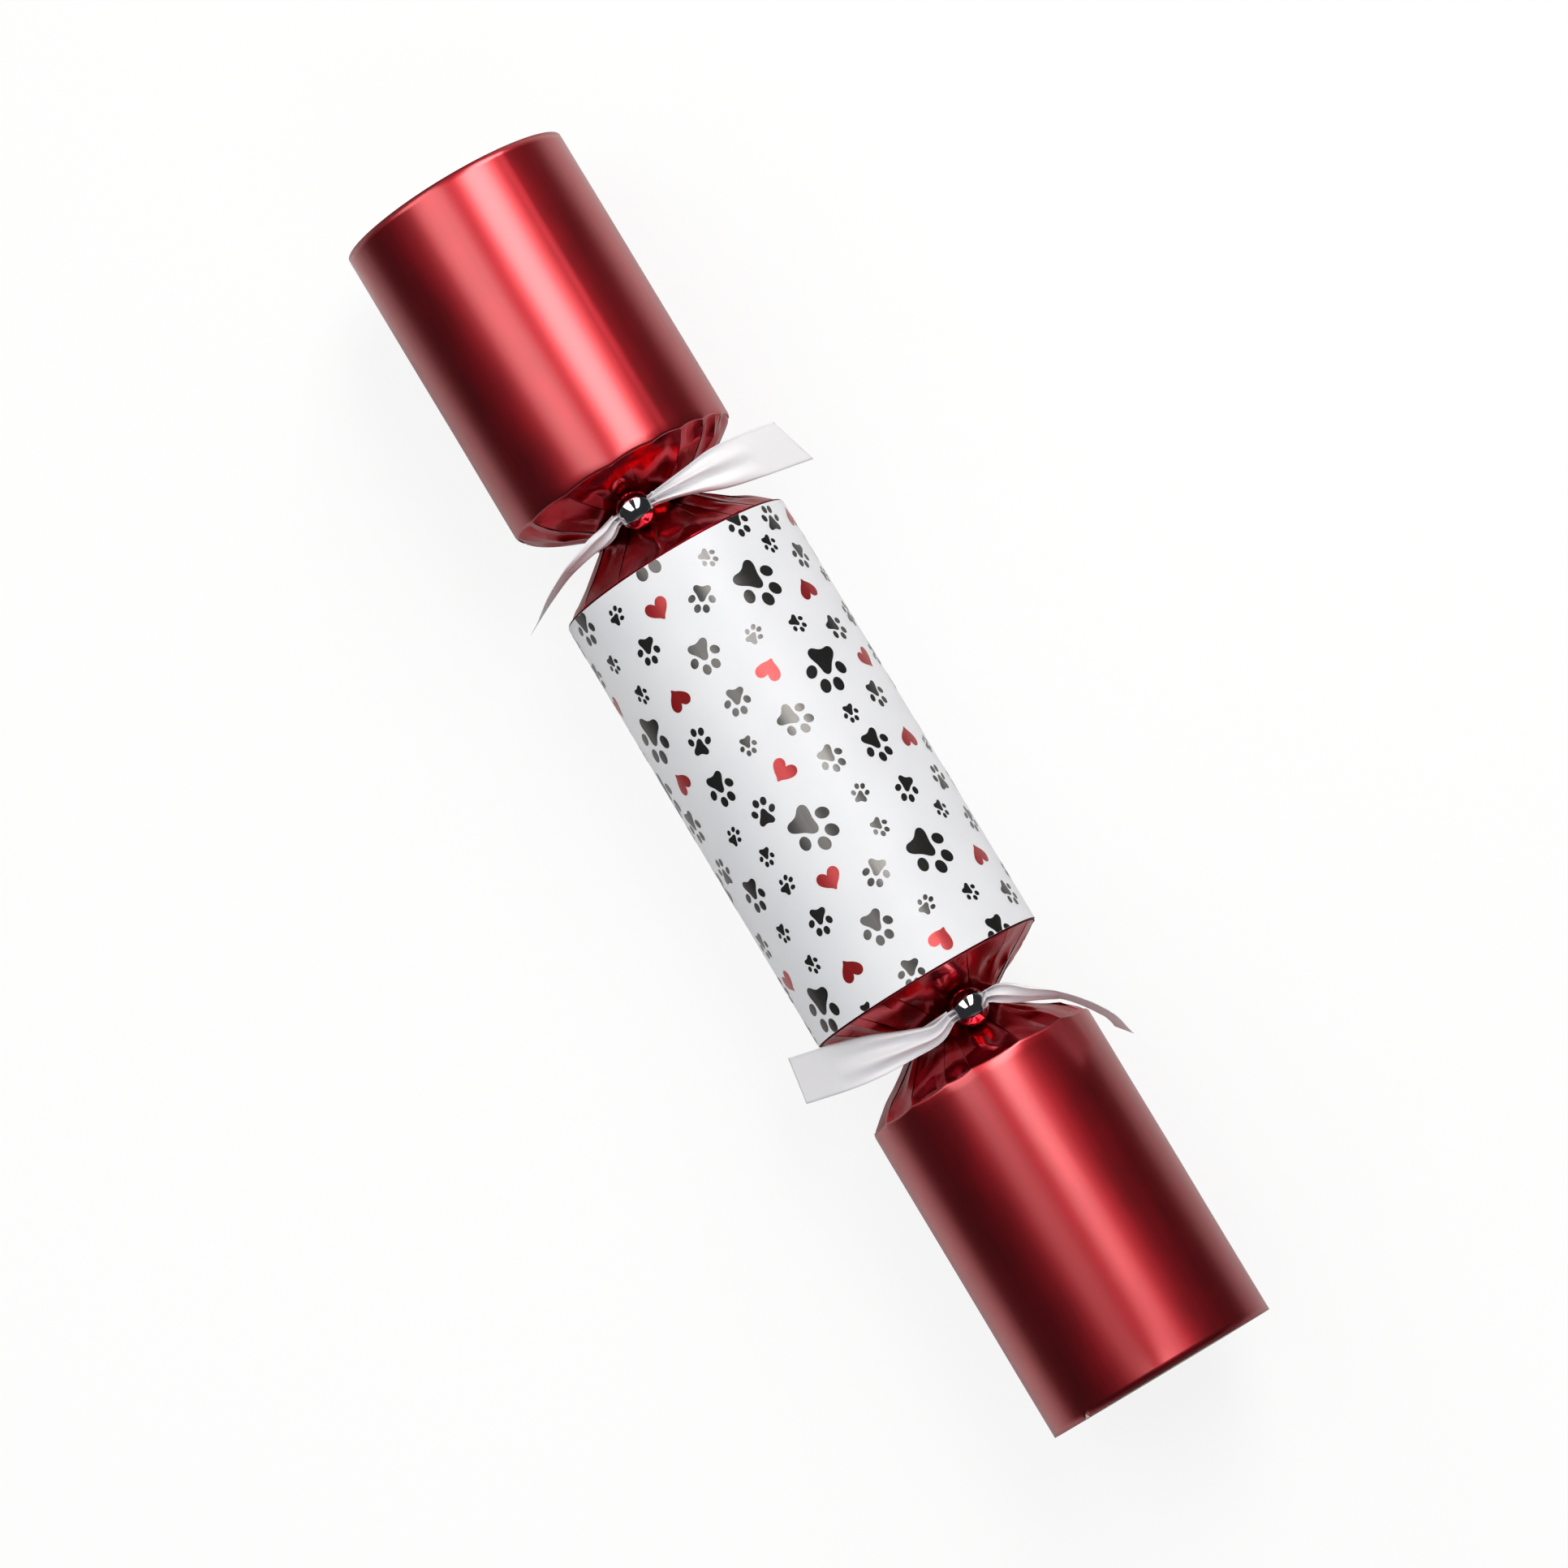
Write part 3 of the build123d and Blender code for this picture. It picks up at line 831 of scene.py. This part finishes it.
paw_points, paw_faces, heart_points, heart_faces = [], [], [], []
for kind, x, turn, facing in motifs + far_motifs:
    if kind == "heart":
        lay_motif(heart_shapes, heart_size, x, turn, facing, heart_points, heart_faces)
    else:
        lay_motif(paw_shapes, kind, x, turn, facing, paw_points, paw_faces)
new_piece("paw_prints", paw_points, paw_faces, ["paw foil"], "barrel")
new_piece("heart_prints", heart_points, heart_faces, ["heart foil"], "barrel")
print("print faces:", len(paw_faces) + len(heart_faces))

# %% [markdown]
# ## Beads
# A bead is turned on a lathe: one half of its section is swept round its bore. The lips of the
# bore are rounded, as they are on a moulded and plated bead.

# %% The beads
bead_turns = {
    name: math.atan2(centre.y, centre.z - axis_height) for name, centre in bead_centres.items()
}
bead_ups = {name: Vector((0, math.sin(turn), math.cos(turn))) for name, turn in bead_turns.items()}
ribbon_ways = {
    name: Vector((0, math.cos(turn), -math.sin(turn))) for name, turn in bead_turns.items()
}
BEAD_SPOKES, LIP_STEPS, ROUND_STEPS = 72, 8, 24
bead_radius = 4.0
bore_radius = 1.5
lip_radius = 0.35


def bead_section():
    """Half the bead's section as (distance along the bore, radius), from the bore's middle out."""
    section = [(0.0, bore_radius), (1.6, bore_radius), (2.8, bore_radius)]
    lip_distance = bore_radius + lip_radius
    lip_along = math.sqrt((bead_radius - lip_radius) ** 2 - lip_distance**2)
    end_turn = math.atan2(lip_along, lip_distance)
    for step in range(LIP_STEPS + 1):
        turn = math.pi + (end_turn - math.pi) * step / LIP_STEPS
        section.append(
            (lip_along + lip_radius * math.sin(turn), lip_distance + lip_radius * math.cos(turn))
        )
    for step in range(1, ROUND_STEPS + 1):
        turn = end_turn * (1 - step / ROUND_STEPS)
        section.append((bead_radius * math.sin(turn), bead_radius * math.cos(turn)))
    return section


def make_bead(side_name):
    """A bored, plated bead on its ribbon."""
    half = bead_section()
    section = half + [(-along, radius) for along, radius in half[-2:0:-1]]
    way, up = ribbon_ways[side_name], bead_ups[side_name]
    side_way = Vector((1, 0, 0))
    points = []
    for along, radius in section:
        for step in range(BEAD_SPOKES):
            turn = math.tau * step / BEAD_SPOKES
            spoke = up * math.cos(turn) + side_way * math.sin(turn)
            points.append(bead_centres[side_name] + (way * along + spoke * radius) * mm)
    faces = net_faces(len(section), BEAD_SPOKES, True)
    last = (len(section) - 1) * BEAD_SPOKES
    for step in range(BEAD_SPOKES):
        following = (step + 1) % BEAD_SPOKES
        faces.append((last + step, last + following, following, step))
    name = f"{side_name}_plated_bead"
    bead = new_piece(name, points, faces, ["bead chrome"], f"{side_name}_bead")
    bead.data.flip_normals()
    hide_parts(f"{side_name}_bead")
    return bead


beads = {name: make_bead(name) for name in SIDES}
print("beads:", [bead.name for bead in beads.values()])

# %% [markdown]
# ## Ribbons
# Each ribbon is ten millimetres wide when it is flat. It goes once round the waist, both its ends
# pass through the bead, and the tails spread out again beyond it. A narrow place isn't a narrower
# ribbon: it is the same ribbon in folds like an accordion's, and the height of the folds is what
# is needed to keep the ribbon's own width.

# %% The paths of the ribbon tails
ribbon_width = 10.0
# From the bead's mouth: along, out and up in millimetres, share of the full width, turn in degrees
TAILS = {
    ("left", 1): [
        (0.2, 3.5, -0.2, 0.36, 8), (0.6, 8.5, -1.4, 0.58, 4), (1.0, 14.5, -4.4, 0.88, 0),
        (1.4, 22.0, -10.0, 1.0, 0), (1.9, 30.6, -18.5, 1.0, 0),
    ],
    ("left", -1): [
        (1.2, 3.0, -0.4, 0.42, -44), (2.0, 7.5, -1.4, 0.72, -74), (3.6, 13.5, -3.0, 1.0, -87),
        (6.0, 19.5, -5.0, 1.0, -91), (9.2, 25.6, -7.4, 1.0, -98),
    ],
    ("right", -1): [
        (1.2, 4.2, -0.2, 0.4, -6), (0.2, 10.0, -1.2, 0.6, -4), (-1.8, 18.0, -4.2, 0.9, 0),
        (-3.8, 25.5, -9.6, 1.0, 0), (-6.1, 33.2, -18.0, 1.0, 0),
    ],
    ("right", 1): [
        (0.9, 2.6, 0.8, 0.42, 44), (3.8, 7.2, 2.0, 0.72, 78), (7.4, 12.2, 2.8, 1.0, 85),
        (11.6, 16.0, 2.4, 1.0, 85), (16.0, 18.8, 0.8, 1.0, 84), (19.8, 20.0, -1.0, 1.0, 83),
    ],
}
# The slant of each tail's cut end in degrees
TAIL_CUTS = {("left", 1): -28.0, ("left", -1): 30.0, ("right", -1): -12.0, ("right", 1): 0.0}
mouth = 4.45


def fold_height(share, folds):
    """Height of sine folds that take up the rest of the ribbon's width, by halving an interval."""
    if share > 0.995:
        return 0.0
    span = ribbon_width * share
    low, high = 0.0, 4.0
    for _ in range(40):
        height = (low + high) / 2
        length = 0.0
        steps = 48
        for step in range(steps):
            phase = math.tau * folds * (step + 0.5) / steps
            slope = height * math.tau * folds / span * math.cos(phase)
            length += span / steps * math.sqrt(1 + slope * slope)
        if length < ribbon_width:
            low = height
        else:
            high = height
    return (low + high) / 2


def smooth_between(values, position):
    """A smooth value through a list of values, at a position counted in steps along the list."""
    i = min(int(position), len(values) - 2)
    before, after = values[max(i - 1, 0)], values[min(i + 2, len(values) - 1)]
    return curve_point(before, values[i], values[i + 1], after, position - i)


print("height of the folds where the ribbon is gathered:", round(fold_height(0.45, 2), 2), "mm")

# %% [markdown]
# A strip is a row of cross-sections along a path. Each cross-section is folded by its share of the
# full width, and a map of distances across and along the ribbon is kept for the weave.

# %% The ribbons
STRIP_POINTS = 29
ROWS_PER_STATION = 12
TIP_START, TIP_LENGTH = 0.55, 0.45
cup_height = 0.35
loop_radius = 12.1
ribbon_thickness = 0.12 * mm


def heading(centres, i):
    """The way a path runs at one of its places."""
    return (centres[min(i + 1, len(centres) - 1)] - centres[max(i - 1, 0)]).normalized()


def strip_rows(centres, acrosses, shares, folds, cut, limit=None):
    """Points across the ribbon at each place of a path, in millimetres."""
    rows = []
    count = len(centres)
    for i, centre in enumerate(centres):
        ahead = heading(centres, i)
        across = acrosses[i]
        face = ahead.cross(across).normalized()
        share = min(shares[i], 1.0)
        height = fold_height(share, folds)
        height = min(height, limit) if limit else height
        tip = max(0.0, (i / (count - 1) - TIP_START) / TIP_LENGTH)
        row = []
        for step in range(STRIP_POINTS):
            u = step / (STRIP_POINTS - 1) - 0.5
            wide = u * ribbon_width * share
            fold = height * math.sin(math.tau * folds * (u + 0.5))
            lead = -wide * math.tan(math.radians(cut)) * tip * tip
            cup = cup_height * (4 * u * u - 0.5) * math.sin(math.pi * i / (count - 1)) * share
            row.append(centre + across * wide + face * (fold + cup) + ahead * lead)
        rows.append(row)
    return rows


def tail_strip(side_name, way):
    """One tail, from the middle of the bead to its cut end."""
    stations = TAILS[side_name, way]
    bead_middle = bead_centres[side_name] / mm
    root = bead_middle + ribbon_ways[side_name] * (way * mouth)
    start = bead_middle + ribbon_ways[side_name] * (way * 0.6)
    places = [start, root] + [
        root + Vector((along, way * out, up)) for along, out, up, _, _ in stations
    ]
    shares = [0.2, 0.24] + [station[3] for station in stations]
    turns = [stations[0][4] * 0.5] * 2 + [station[4] for station in stations]
    centres, acrosses, spans = [], [], []
    samples = ROWS_PER_STATION * (len(places) - 1) + 1
    for i in range(samples):
        position = i / ROWS_PER_STATION
        centres.append(smooth_between(places, position))
        spans.append(max(0.2, smooth_between(shares, position)))
    for i in range(samples):
        ahead = heading(centres, i)
        level = ahead.cross(Vector((0, 0, 1))).normalized()
        turn = smooth_between(turns, i / ROWS_PER_STATION)
        level.rotate(Quaternion(ahead, math.radians(turn)))
        acrosses.append(level)
    return strip_rows(centres, acrosses, spans, 2, TAIL_CUTS[side_name, way])


def loop_strip(side_name):
    """The gathered loop round the waist, from one mouth of the bead to the other."""
    climb_steps, arc_steps = 7, 60
    centre = bead_centres[side_name]
    orbit = Vector((0, centre.y, centre.z - axis_height)).length / mm
    way, up = ribbon_ways[side_name], bead_ups[side_name]
    middle = Vector((waists[side_name], 0, axis_height)) / mm
    leave = math.atan2(orbit, mouth) - math.acos(loop_radius / math.hypot(mouth, orbit))
    corner = way * math.cos(math.pi - leave) * loop_radius + up * math.sin(leave) * loop_radius
    first_mouth, last_mouth = -way * mouth + up * orbit, way * mouth + up * orbit
    path = [first_mouth.lerp(corner, step / climb_steps) for step in range(climb_steps)]
    arc = math.pi + 2 * leave
    for step in range(arc_steps + 1):
        angle = math.pi - leave + arc * step / arc_steps
        path.append((way * math.cos(angle) + up * math.sin(angle)) * loop_radius)
    arc_end = path[-1]
    path += [arc_end.lerp(last_mouth, step / climb_steps) for step in range(1, climb_steps + 1)]
    centres = [middle + spot for spot in path]
    acrosses = [Vector((1, 0, 0)) for _ in path]
    spans = [0.28 + 0.06 * math.sin(math.pi * i / (len(path) - 1)) for i in range(len(path))]
    return strip_rows(centres, acrosses, spans, 3, 0.0, 0.3)


def make_ribbon(side_name):
    """The whole ribbon of one neck: two tails and the loop."""
    points, faces, across_map, along_map = [], [], [], []
    for rows in (tail_strip(side_name, 1), tail_strip(side_name, -1), loop_strip(side_name)):
        first = len(points)
        walked = 0.0
        for i, row in enumerate(rows):
            middle = STRIP_POINTS // 2
            walked += (row[middle] - rows[i - 1][middle]).length if i else 0.0
            for step, spot in enumerate(row):
                points.append(spot * mm)
                across_map.append(step / (STRIP_POINTS - 1))
                along_map.append(walked * mm)
        faces += net_faces(len(rows), STRIP_POINTS, False, first)
    name = f"{side_name}_satin_ribbon"
    ribbon = new_piece(name, points, faces, ["ribbon satin"], f"{side_name}_end")
    layer = ribbon.data.uv_layers.new(name="weave")
    for loop in ribbon.data.loops:
        layer.data[loop.index].uv = (across_map[loop.vertex_index], along_map[loop.vertex_index])
    thicken(ribbon, ribbon_thickness)
    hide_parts(f"{side_name}_ribbon")


for name in SIDES:
    make_ribbon(name)

# %% [markdown]
# ## What the barrel holds
# The hat is a long strip of tissue, folded flat and rolled up with the motto inside it. Both are
# made as spirals: a sheet whose radius grows a little with each turn, with crinkles in the tissue.

# %% Hat and motto
ROLL_ROWS = 57
POINTS_PER_TURN = 40


def rolled_sheet(name, box, first_radius, last_radius, turns, crinkle, material, body, seed):
    """A sheet rolled up round the middle of a CAD box, along the cracker."""
    low, high = box
    middle_y, middle_z = (low.y + high.y) / 2, (low.z + high.z) / 2
    columns = int(turns * POINTS_PER_TURN) + 1
    points = []
    for row in range(ROLL_ROWS):
        place = low.x + (high.x - low.x) * row / (ROLL_ROWS - 1)
        at_edge = row in (0, ROLL_ROWS - 1)
        for column in range(columns):
            share = column / (columns - 1)
            angle = math.tau * turns * share
            radius = first_radius + (last_radius - first_radius) * share
            lump = noise.noise(Vector((place / mm / 4.5 + seed, 1.4 * angle, seed)))
            ragged = 0.25 * noise.noise(Vector((angle * 2, seed, 0))) if at_edge else 0
            radius += crinkle * lump
            y = middle_y + radius * math.cos(angle) * mm
            z = middle_z + radius * math.sin(angle) * mm
            points.append(Vector((place + ragged * mm, y, z)))
    sheet = new_piece(name, points, net_faces(ROLL_ROWS, columns, False), [material], body)
    length = math.pi * (first_radius + last_radius) * turns
    return sheet, length * mm


hat_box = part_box("hat_roll")
hat_thickness, slip_thickness = 0.22 * mm, 0.12 * mm
hat, hat_flat = rolled_sheet("tissue_hat", hat_box, 2.75, 5.15, 3.5, 0.10, "hat tissue", "hat", 3.0)
thicken(hat, hat_thickness)
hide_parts("hat_roll")
slip_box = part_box("motto_slip")
slip, slip_flat = rolled_sheet(
    "rolled_motto", slip_box, 2.1, 2.35, 0.89, 0.0, "motto paper", "hat", 8.0
)
thicken(slip, slip_thickness)
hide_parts("motto_slip")
print("hat strip", round(hat_flat / mm), "mm, motto", round(slip_flat / mm), "mm")

# %% [markdown]
# ## Stiff pieces
# Card tubes, the snap, the hat's paper band and the toy are the CAD's own solids. They keep their
# shape and take a material each.

# %% Materials on the CAD solids
SOLIDS_BY_LOOK = {
    "grey card": ["barrel_tube", "left_end_tube", "right_end_tube"],
    # The barrel's foil strip takes the darker copy of the sleeve foil, which is painted shade.
    "shaded edge foil": ["barrel_wrap"],
    "band paper": ["printed_band"],
    "sleeve foil": ["left_wrap", "right_wrap"],
    "neck foil": ["left_choke", "right_choke"],
    "ribbon satin": ["left_ribbon", "right_ribbon"],
    "bead chrome": ["left_bead", "right_bead"],
    "snap card": ["left_snap_strip", "right_snap_strip"],
    "snap coating": ["snap_charge", "snap_striker"],
    "snap paper": ["snap_sleeve"],
    "hat tissue": ["hat_roll"],
    "motto paper": ["hat_tie", "motto_slip"],
    "disc paint": ["top_disc"],
    "peg wood": ["top_peg"],
}
for look, names in SOLIDS_BY_LOOK.items():
    for name in names:
        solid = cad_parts[name]
        solid.data.materials.clear()
        solid.data.materials.append(bpy.data.materials[look])
print("CAD solids with a material:", sum(len(names) for names in SOLIDS_BY_LOOK.values()))

# %% [markdown]
# ## The floor
# The picture is a studio shot on white, so the floor is white paper. The camera sees it almost
# evenly lit, which is a mix with some glow for camera rays only, and the shadow is kept. What the
# foil mirrors is another matter: its dark sides show that dark boards stood along the cracker, a
# little askew, so mirrored rays find the floor darker there. Past both ends they find it white.

# %% The floor
half_floor = 3.0
corners = [(x * half_floor, y * half_floor, 0) for x, y in ((-1, -1), (1, -1), (1, 1), (-1, 1))]
floor_mesh = bpy.data.meshes.new("floor")
floor_mesh.from_pydata(corners, [], [(0, 1, 2, 3)])
floor = bpy.data.objects.new("floor", floor_mesh)
scene.collection.objects.link(floor)

FLOOR_GLOW = 0.85
BOARD_SKEW = 0.15
BOARD_SHADES = (0.35, 0.97)
BOARD_DISTANCES = (0.05, 0.18)
BOARD_ENDS = (0.35, 0.7)
matte = {"Roughness": 1.0, "Specular IOR Level": 0.0}
floor_white, tree, shader = new_material("floor white", matte)
floor_noise = stretched_noise(tree, (3, 3, 3), 2.0)
two_tones(tree, floor_noise, (0.90, 0.90, 0.90), (0.92, 0.92, 0.92), shader)
rays = place_node(tree, "LightPath")
glow = place_node(tree, "Emission", inputs={"Strength": 1.0})
dark = place_node(tree, "Emission", inputs={"Strength": 0.0})
glow_share = work_out(tree, "MULTIPLY", rays.outputs["Is Camera Ray"], FLOOR_GLOW)
seen = mix_shaders(tree, glow_share, shader.outputs["BSDF"], glow.outputs["Emission"])

spot = take_apart(tree, "NewGeometry", "Position")
across = work_out(tree, "MULTIPLY_ADD", spot["X"], BOARD_SKEW, spot["Y"])
shade = spread(tree, work_out(tree, "ABSOLUTE", across), *BOARD_SHADES, *BOARD_DISTANCES)
between_ends = spread(tree, work_out(tree, "ABSOLUTE", spot["X"]), 1.0, 0.0, *BOARD_ENDS)
boards = work_out(tree, "MULTIPLY", shade, between_ends)
mirrored_boards = work_out(tree, "MULTIPLY", boards, rays.outputs["Is Glossy Ray"])
floor_shader = mix_shaders(tree, mirrored_boards, seen, dark.outputs["Emission"])
tree.links.new(floor_shader, tree.nodes["Material Output"].inputs["Surface"])
floor_mesh.materials.append(floor_white)
print("floor", 2 * half_floor, "m wide")

# %% [markdown]
# ## The surround
# Beyond the floor everything is white for the camera. Mirrored rays see a part of that white past
# the two ends of the cracker, and dark boards in between. Other rays get a faint bluish light.

# %% The surround
END_WHITE = 0.15
END_DIRECTIONS = (0.7, 0.95)
world = bpy.data.worlds.new("studio")
scene.world = world
world.use_nodes = True
tree = world.node_tree
surround = tree.nodes["Background"]
surround.inputs["Color"].default_value = (0.85, 0.92, 1.0, 1)
surround.inputs["Strength"].default_value = 0.03
white = place_node(tree, "Background", inputs={"Color": (1, 1, 1, 1), "Strength": 1.0})
rays = place_node(tree, "LightPath")
direction = take_apart(tree, "TexCoord", "Generated")
sideways = work_out(tree, "ABSOLUTE", direction["X"])
past_ends = spread(tree, sideways, 0.0, END_WHITE, *END_DIRECTIONS)
bent_rays = [rays.outputs["Is Glossy Ray"], rays.outputs["Is Transmission Ray"]]
mirrored = work_out(tree, "MULTIPLY", work_out(tree, "MAXIMUM", *bent_rays), past_ends)
shows_white = work_out(tree, "MAXIMUM", rays.outputs["Is Camera Ray"], mirrored)
world_shader = mix_shaders(
    tree, shows_white, surround.outputs["Background"], white.outputs["Background"]
)
tree.links.new(world_shader, tree.nodes["World Output"].inputs["Surface"])
print("surround:", world.name)

# %% [markdown]
# ## The lamps
# Foil shows where the lamps are. A tube's top mirrors what is overhead and its sides mirror what is
# beside it, so each pale stripe is a lamp. Both stripes get narrower, closer and fainter to the
# right: two long lamps stand on the left, sloping up over the cracker and ending above its middle.
# The gap between them is the darker line. Large fills light the rest, and the foil doesn't show
# them, because in the picture it doesn't either.

# %% The lamps
WARM_WHITE, COOL_WHITE = (1.0, 0.985, 0.955), (0.98, 0.99, 1.0)
# Name: centre and size in metres, rise and lean in degrees, radiance, and if the foil shows it
LAMPS = {
    "far lamp": ((-0.375, 0.53, 0.96), (1.5, 0.55), 60, 0, 5.7, True),
    "near lamp": ((-0.375, -0.41, 0.96), (1.5, 0.60), 60, 0, 2.15, True),
    "overhead fill": ((1.0, 0.0, 1.13), (1.0, 1.2), 0, 0, 1.2, False),
    "near fill": ((0.1, -0.95, 0.76), (1.2, 0.8), 0, -52, 0.85, False),
    "far fill": ((0.1, 0.98, 0.71), (1.2, 0.8), 0, 55, 0.15, False),
}


def hang_lamp(name, centre, size, rise, lean, radiance, shows):
    """A flat lamp that rises to the right, or leans out towards +Y, by some degrees."""
    sheet = bpy.data.lights.new(name, "AREA")
    sheet.shape = "RECTANGLE"
    sheet.size, sheet.size_y = size
    sheet.energy = radiance * size[0] * size[1] * math.pi
    sheet.color = WARM_WHITE if shows else COOL_WHITE
    lamp = bpy.data.objects.new(name, sheet)
    lamp.location = centre
    leaned = Matrix.Rotation(math.radians(-lean), 3, "X")
    lamp.rotation_euler = (leaned @ Matrix.Rotation(math.radians(-rise), 3, "Y")).to_euler()
    lamp.visible_camera = False
    lamp.visible_glossy = shows
    scene.collection.objects.link(lamp)
    return lamp


lamps = [hang_lamp(name, *settings) for name, settings in LAMPS.items()]
print("lamps:", [lamp.name for lamp in lamps])

# %% [markdown]
# ## Camera
# The picture looks almost straight down, with the cracker aslant. The place of the lens was worked
# out from known points of the cracker, such as its rims and the edges of its band.

# %% Camera
lens = bpy.data.cameras.new("camera")
lens.sensor_width = 36.0
lens.lens = 170.6
lens.clip_end = 20.0
camera = bpy.data.objects.new("camera", lens)
camera.location = (0.1486, -0.0055, 1.5280)
aim = Vector((-0.00166, -0.004085, 0.0255))
picture_up = Vector((-0.8527, 0.5154, 0.0858))
back = (camera.location - aim).normalized()
right = picture_up.cross(back).normalized()
camera.rotation_euler = Matrix((right, back.cross(right), back)).transposed().to_euler()
scene.collection.objects.link(camera)
scene.camera = camera
scene.view_settings.view_transform = "Standard"
print("camera", [round(v, 3) for v in camera.location])
